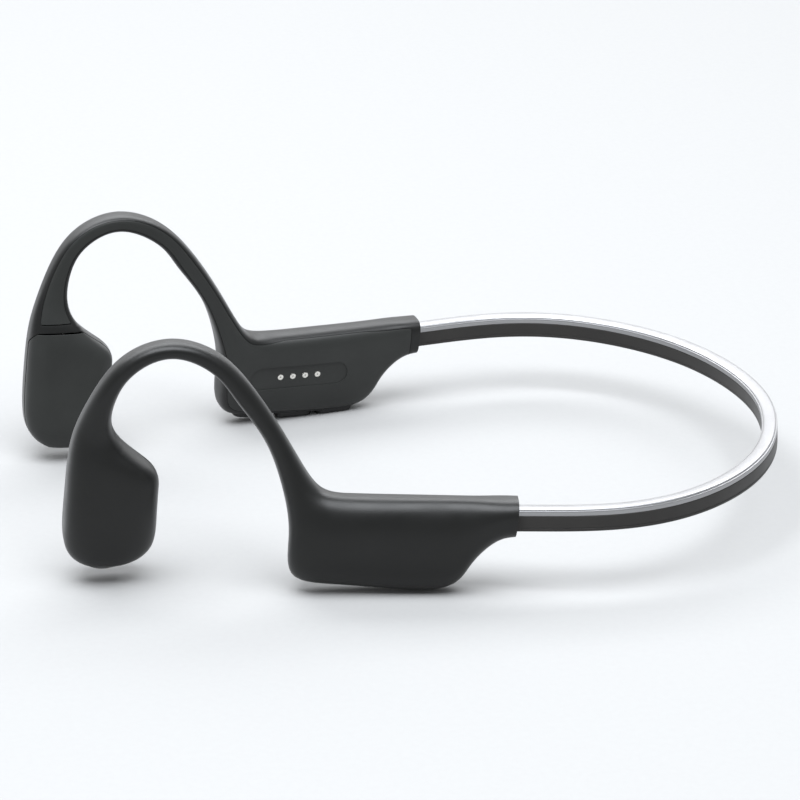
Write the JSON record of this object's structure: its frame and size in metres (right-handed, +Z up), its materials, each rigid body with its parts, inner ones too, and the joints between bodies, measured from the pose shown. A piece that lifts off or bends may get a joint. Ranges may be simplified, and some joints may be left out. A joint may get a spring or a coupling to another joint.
{
  "type": "bone conduction headphones",
  "caption": "Open-ear bone conduction headphones: a neck band joins two ear hooks, each with a transducer pod in front of the ear and a slim housing behind it.",
  "frame": {"origin": "bottom centre of the bounding box, on the surface the headphones rest on, midway between the ears", "axes": "+X from the wearer's face to the back of the head, +Y to the wearer's right, +Z up"},
  "size_m": [0.1545, 0.1094, 0.0521],
  "materials": {
    "soft_touch_shell": "matt soft-touch silicone over moulded shell",
    "pad_silicone": "matt silicone",
    "band_rubber": "matt",
    "band_silver": "satin silver lacquer",
    "titanium_wire": "drawn",
    "cable_jacket": "matt",
    "seal_rubber": "matt",
    "driver_steel": "nickel plated",
    "copper_coil": "enamelled",
    "battery_pouch": "laminated foil",
    "foam": "open cell",
    "circuit_board": "solder mask",
    "black_plastic": "moulded",
    "plated_steel": "tin plated",
    "gold_contact": "plated",
    "button_rubber": "matt"
  },
  "bodies": {
    "band": {"band_jacket": "band_rubber", "band_trim": "band_silver", "band_core_wire": "titanium_wire", "band_cable": "cable_jacket"},
    "left_arm": {"left_band_seal": "seal_rubber", "left_hook_cable": "cable_jacket", "left_hook_core_wire": "titanium_wire", "left_inner_cover": "soft_touch_shell", "left_outer_shell": "soft_touch_shell", "left_spring_plate": "driver_steel", "left_transducer_magnet": "driver_steel", "left_transducer_yoke": "driver_steel", "left_voice_coil": "copper_coil", "battery_cell": "battery_pouch", "battery_foam": "foam", "battery_board": "circuit_board"},
    "right_arm": {"right_band_seal": "seal_rubber", "right_hook_cable": "cable_jacket", "right_hook_core_wire": "titanium_wire", "right_inner_cover": "soft_touch_shell", "right_outer_shell": "soft_touch_shell", "right_spring_plate": "driver_steel", "right_transducer_magnet": "driver_steel", "right_transducer_yoke": "driver_steel", "right_voice_coil": "copper_coil", "main_board": "circuit_board", "board_screws": "plated_steel", "shield_can": "plated_steel", "radio_chip": "black_plastic", "microphone": "black_plastic", "button_switches": "black_plastic", "button_seal": "seal_rubber", "contact_block": "black_plastic", "charging_pins": "gold_contact"},
    "left_pad": {"left_transducer_pad": "pad_silicone", "left_vibration_plate": "driver_steel"},
    "right_pad": {"right_transducer_pad": "pad_silicone", "right_vibration_plate": "driver_steel"},
    "volume_up_button": {"volume_up_button": "button_rubber"},
    "multifunction_button": {"multifunction_button": "button_rubber"},
    "volume_down_button": {"volume_down_button": "button_rubber"}
  },
  "joints": [
    {"name": "left_arm_flex", "type": "hinge", "parent": "band", "child": "left_arm", "pos_m": [0.0755, 0, 0.0152], "axis": [0, 0, 1], "range_deg": [-6, 18], "stiffness_Nm_per_rad": 0.35, "deforming": ["band_jacket", "band_trim", "band_core_wire", "band_cable"]},
    {"name": "right_arm_flex", "type": "hinge", "parent": "band", "child": "right_arm", "pos_m": [0.0755, 0, 0.0152], "axis": [0, 0, -1], "range_deg": [-6, 18], "stiffness_Nm_per_rad": 0.35, "deforming": ["band_jacket", "band_trim", "band_core_wire", "band_cable"]},
    {"name": "left_pad_vibration", "type": "slide", "parent": "left_arm", "child": "left_pad", "axis": [0, -1, 0], "range_m": [-0.0002, 0.0002], "stiffness_N_per_m": 6000},
    {"name": "right_pad_vibration", "type": "slide", "parent": "right_arm", "child": "right_pad", "axis": [0, 1, 0], "range_m": [-0.0002, 0.0002], "stiffness_N_per_m": 6000},
    {"name": "volume_up_press", "type": "slide", "parent": "right_arm", "child": "volume_up_button", "axis": [0, 0, 1], "range_m": [0, 0.0004], "stiffness_N_per_m": 3500, "springref_m": -0.0003},
    {"name": "multifunction_press", "type": "slide", "parent": "right_arm", "child": "multifunction_button", "axis": [0, 0, 1], "range_m": [0, 0.0004], "stiffness_N_per_m": 3500, "springref_m": -0.0003},
    {"name": "volume_down_press", "type": "slide", "parent": "right_arm", "child": "volume_down_button", "axis": [0, 0, 1], "range_m": [0, 0.0004], "stiffness_N_per_m": 3500, "springref_m": -0.0003}
  ]
}
